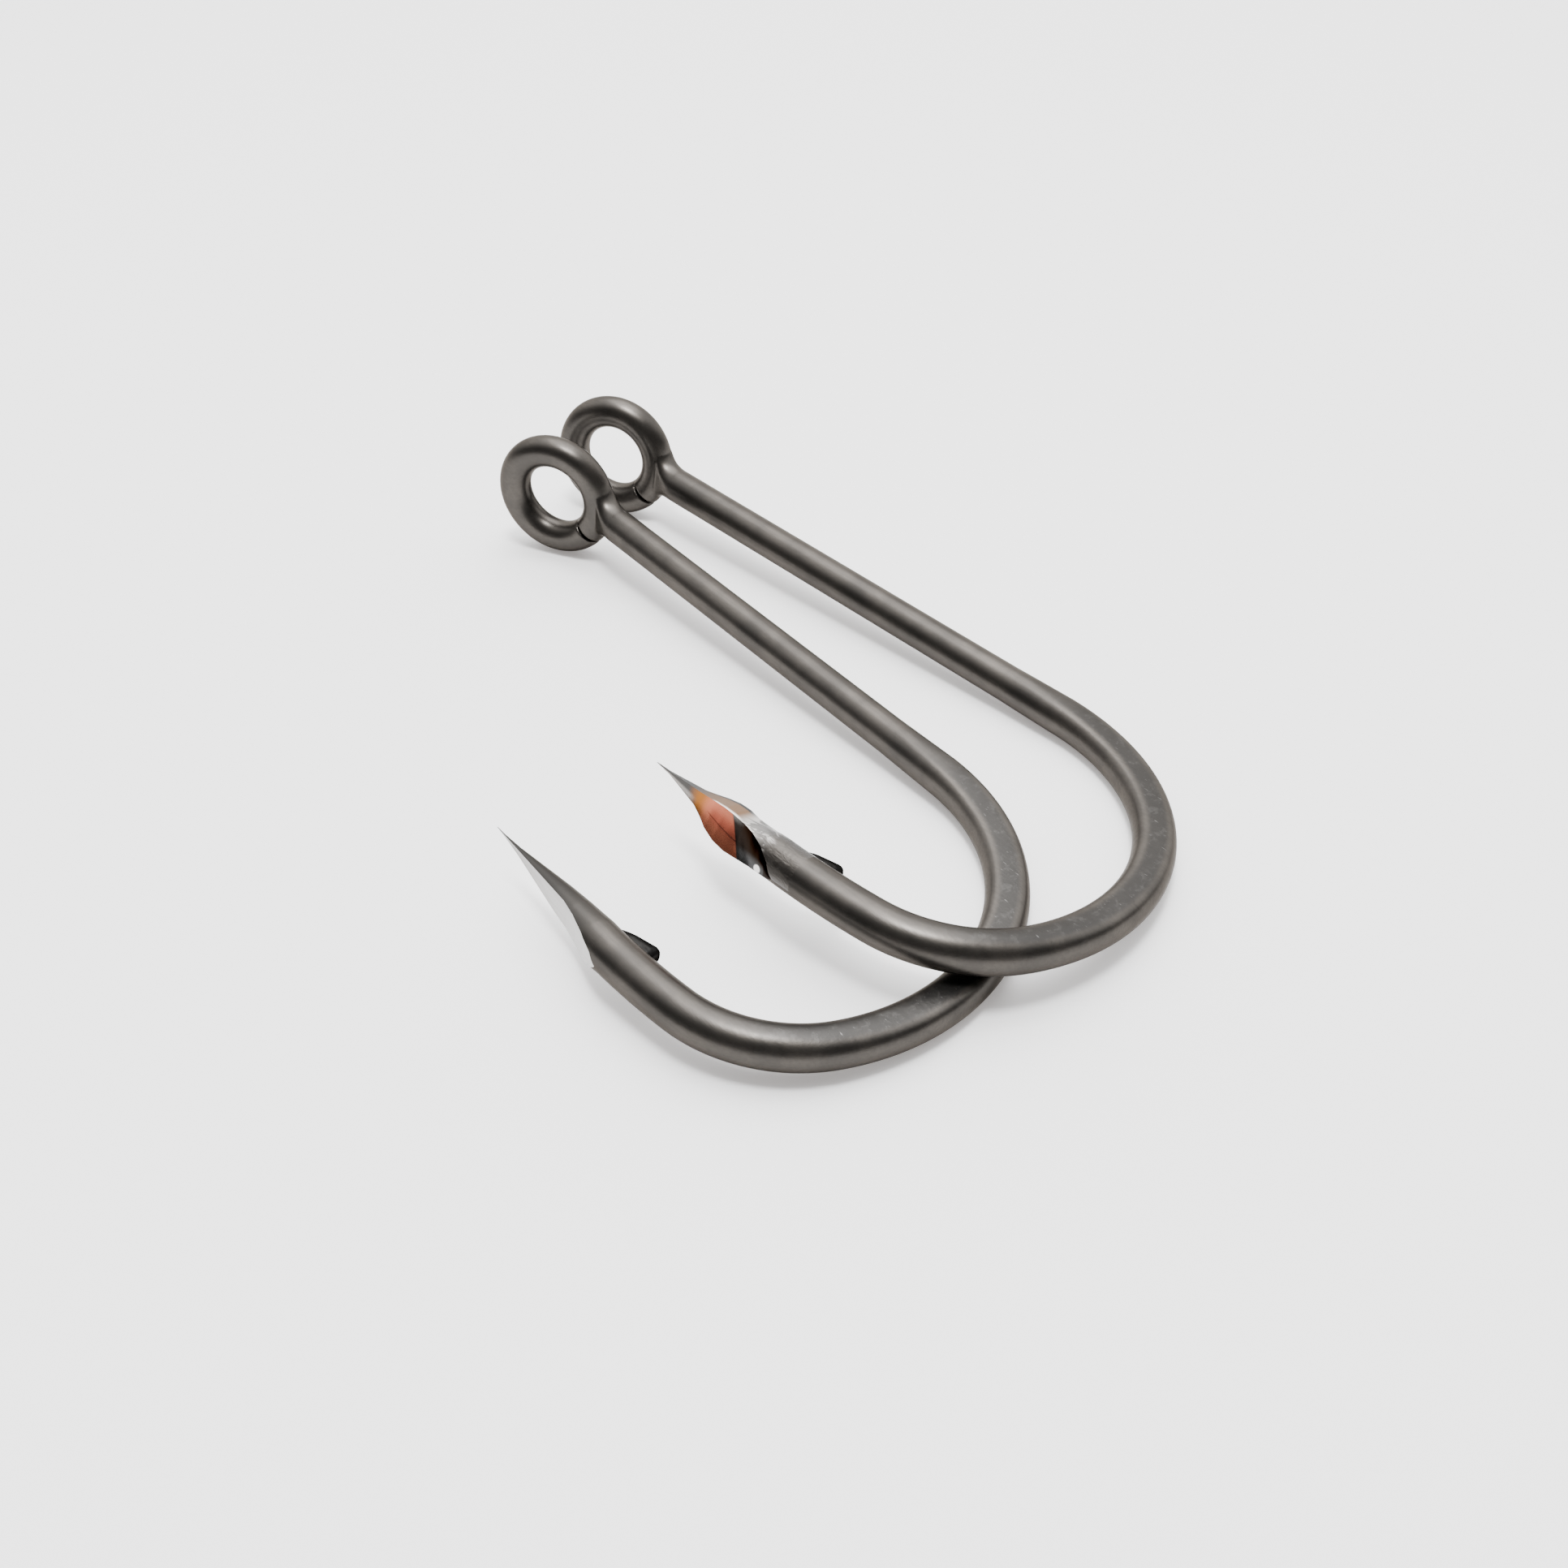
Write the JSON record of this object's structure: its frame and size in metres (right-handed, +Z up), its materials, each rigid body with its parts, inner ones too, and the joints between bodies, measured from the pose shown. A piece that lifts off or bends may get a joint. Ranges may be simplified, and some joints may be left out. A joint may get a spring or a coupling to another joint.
{
  "type": "pair of single fish hooks",
  "caption": "Pair of forged single fish hooks with ringed eyes, ground points and sliced barbs, one lying loose across the other.",
  "frame": {"origin": "under the middle of the pair, on the surface the hooks lie on", "axes": "+X along the lower hook's shank, from its eye to its bend; +Z up"},
  "size_m": [0.0358, 0.022, 0.0052],
  "materials": {
    "wire": "satin black-nickel plating",
    "forged_wire": "satin black-nickel plating, pressed flat and scuffed",
    "lower_ground_point": "plated leg with bright ground facets",
    "upper_ground_point": "plated leg with heat-tinted polished facets"
  },
  "bodies": {
    "lower_hook": {"lower_eye": "wire", "lower_shank": "wire", "lower_bend": "forged_wire", "lower_point": "lower_ground_point", "lower_barb": "wire"},
    "upper_hook": {"upper_eye": "wire", "upper_shank": "wire", "upper_bend": "forged_wire", "upper_point": "upper_ground_point", "upper_barb": "wire"}
  },
  "joints": [
    {"name": "upper_hook_lift", "type": "slide", "parent": "lower_hook", "child": "upper_hook", "axis": [0, 0, 1], "range_m": [0, 0.03]}
  ]
}
